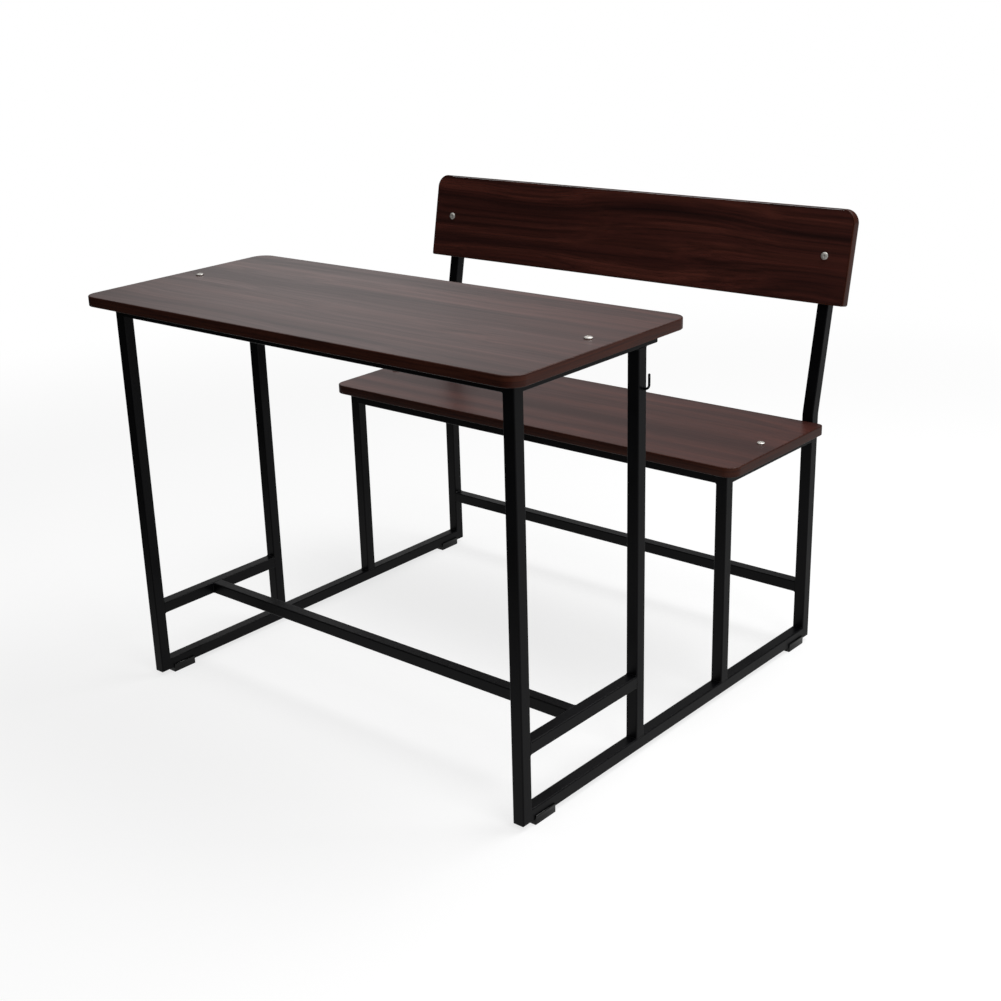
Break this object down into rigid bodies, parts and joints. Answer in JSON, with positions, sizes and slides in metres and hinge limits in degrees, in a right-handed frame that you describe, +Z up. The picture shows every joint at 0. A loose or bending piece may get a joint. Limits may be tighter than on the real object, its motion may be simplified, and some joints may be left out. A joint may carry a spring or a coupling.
{
  "type": "two-seater school desk with bench",
  "caption": "School desk and bench in a welded square-tube frame, with bolted laminated desktop, seat and backrest, a footrest bar, plastic glides and a bag hook.",
  "frame": {"origin": "on the floor, under the middle of the overall bounding box", "axes": "+X along the desktop, +Y from the desk towards the bench, +Z up"},
  "size_m": [0.99, 0.9978, 0.8354],
  "materials": {
    "frame_tube": "black powder coat, satin, fine orange peel",
    "laminate_board": "dark mahogany-grain melamine on board, satin",
    "edge_band": "brown plastic edge band with softened arrises",
    "plated_fastener": "bright zinc plate",
    "black_plastic": "black moulded plastic"
  },
  "bodies": {
    "root": {"floor_runner_left": "frame_tube", "desk_front_leg_left": "frame_tube", "desk_rear_leg_left": "frame_tube", "desk_top_rail_left": "frame_tube", "desk_lower_rail_left": "frame_tube", "bench_front_leg_left": "frame_tube", "seat_side_rail_left": "frame_tube", "bench_rear_post_left": "frame_tube", "floor_runner_right": "frame_tube", "desk_front_leg_right": "frame_tube", "desk_rear_leg_right": "frame_tube", "desk_top_rail_right": "frame_tube", "desk_lower_rail_right": "frame_tube", "bench_front_leg_right": "frame_tube", "seat_side_rail_right": "frame_tube", "bench_rear_post_right": "frame_tube", "desk_front_rail": "frame_tube", "desk_rear_rail": "frame_tube", "footrest_bar": "frame_tube", "seat_front_rail": "frame_tube", "seat_rear_rail": "frame_tube", "bench_stretcher": "frame_tube", "bag_hook": "frame_tube", "desktop_board": "laminate_board", "desktop_edge_band": "edge_band", "seat_board": "laminate_board", "seat_edge_band": "edge_band", "backrest_board": "laminate_board", "backrest_edge_band": "edge_band", "desktop_left_bolt": "plated_fastener", "desktop_left_nut": "plated_fastener", "desktop_right_bolt": "plated_fastener", "desktop_right_nut": "plated_fastener", "seat_left_bolt": "plated_fastener", "seat_left_nut": "plated_fastener", "seat_right_bolt": "plated_fastener", "seat_right_nut": "plated_fastener", "backrest_left_bolt": "plated_fastener", "backrest_left_nut": "plated_fastener", "backrest_right_bolt": "plated_fastener", "backrest_right_nut": "plated_fastener", "glide_left_front": "black_plastic", "glide_left_rear": "black_plastic", "rail_plug_left": "black_plastic", "post_plug_left": "black_plastic", "glide_right_front": "black_plastic", "glide_right_rear": "black_plastic", "rail_plug_right": "black_plastic", "post_plug_right": "black_plastic"}
  },
  "joints": []
}
